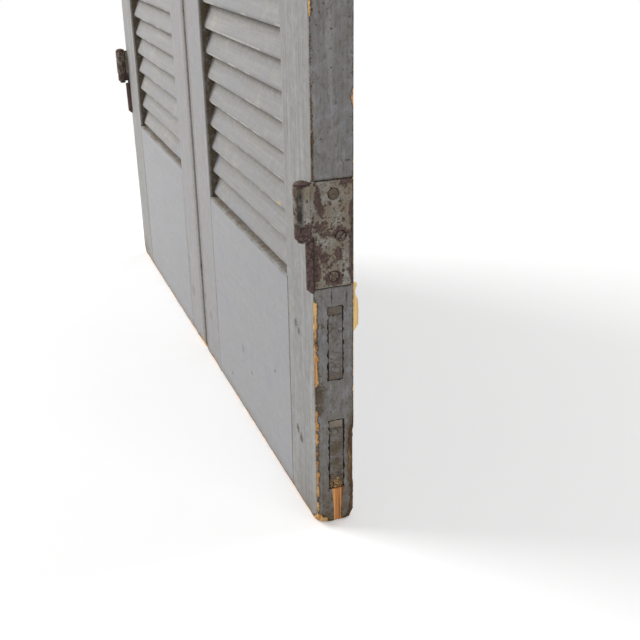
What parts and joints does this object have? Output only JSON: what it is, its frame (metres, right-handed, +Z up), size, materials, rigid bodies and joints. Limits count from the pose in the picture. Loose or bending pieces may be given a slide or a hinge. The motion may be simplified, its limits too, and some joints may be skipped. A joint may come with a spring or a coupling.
{
  "type": "pair of arched louvered doors",
  "caption": "Tall pair of grey-painted wooden doors with a shared round-arched head, fixed slanting slats in a framed leaf, and iron hinges on the outer edges.",
  "frame": {"origin": "middle of the box's underside: on the floor, under the meeting line of the two leaves, half way from the front of the knuckles to the back of the leaves", "axes": "+X along the pair towards the right leaf as seen from the front, +Y from the front with the knuckles to the back, +Z up"},
  "size_m": [0.8106, 0.051, 2.0975],
  "materials": {
    "painted_wood": "aged grey oil paint, brushed along the grain and chipped to bare wood at the corners",
    "wedge_wood": "thinly painted end grain",
    "hinge_iron": "rusted iron under worn grey paint",
    "pin_iron": "dark rubbed iron",
    "screw_steel": "dull steel with rust in the slot"
  },
  "bodies": {
    "hinge_pins": {"right_bottom_pin": "pin_iron", "right_middle_pin": "pin_iron", "right_top_pin": "pin_iron", "left_bottom_pin": "pin_iron", "left_middle_pin": "pin_iron", "left_top_pin": "pin_iron"},
    "right_leaf": {"right_hinge_stile": "painted_wood", "right_meeting_stile_louvers": "painted_wood", "right_bottom_rail": "painted_wood", "right_mid_rail": "painted_wood", "right_arch_rail": "painted_wood", "right_bottom_rail_lower_wedge_under": "wedge_wood", "right_bottom_rail_lower_wedge_over": "wedge_wood", "right_bottom_rail_upper_wedge_under": "wedge_wood", "right_bottom_rail_upper_wedge_over": "wedge_wood", "right_mid_rail_wedge_under": "wedge_wood", "right_mid_rail_wedge_over": "wedge_wood", "right_bottom_hinge": "hinge_iron", "right_bottom_screw_upper": "screw_steel", "right_bottom_screw_centre": "screw_steel", "right_bottom_screw_lower": "screw_steel", "right_middle_hinge": "hinge_iron", "right_middle_screw_upper": "screw_steel", "right_middle_screw_centre": "screw_steel", "right_middle_screw_lower": "screw_steel", "right_top_hinge": "hinge_iron", "right_top_screw_upper": "screw_steel", "right_top_screw_centre": "screw_steel", "right_top_screw_lower": "screw_steel"},
    "left_leaf": {"left_hinge_stile": "painted_wood", "left_meeting_stile_louvers": "painted_wood", "left_bottom_rail": "painted_wood", "left_mid_rail": "painted_wood", "left_arch_rail": "painted_wood", "left_bottom_rail_lower_wedge_under": "wedge_wood", "left_bottom_rail_lower_wedge_over": "wedge_wood", "left_bottom_rail_upper_wedge_under": "wedge_wood", "left_bottom_rail_upper_wedge_over": "wedge_wood", "left_mid_rail_wedge_under": "wedge_wood", "left_mid_rail_wedge_over": "wedge_wood", "left_bottom_hinge": "hinge_iron", "left_bottom_screw_upper": "screw_steel", "left_bottom_screw_centre": "screw_steel", "left_bottom_screw_lower": "screw_steel", "left_middle_hinge": "hinge_iron", "left_middle_screw_upper": "screw_steel", "left_middle_screw_centre": "screw_steel", "left_middle_screw_lower": "screw_steel", "left_top_hinge": "hinge_iron", "left_top_screw_upper": "screw_steel", "left_top_screw_centre": "screw_steel", "left_top_screw_lower": "screw_steel"}
  },
  "joints": [
    {"name": "right_leaf_swing", "type": "hinge", "parent": "hinge_pins", "child": "right_leaf", "pos_m": [0.3985, -0.0187, 0.27395], "axis": [0, 0, 1], "range_deg": [0, 180]},
    {"name": "left_leaf_swing", "type": "hinge", "parent": "hinge_pins", "child": "left_leaf", "pos_m": [-0.3985, -0.0187, 0.27395], "axis": [0, 0, -1], "range_deg": [0, 180]}
  ]
}
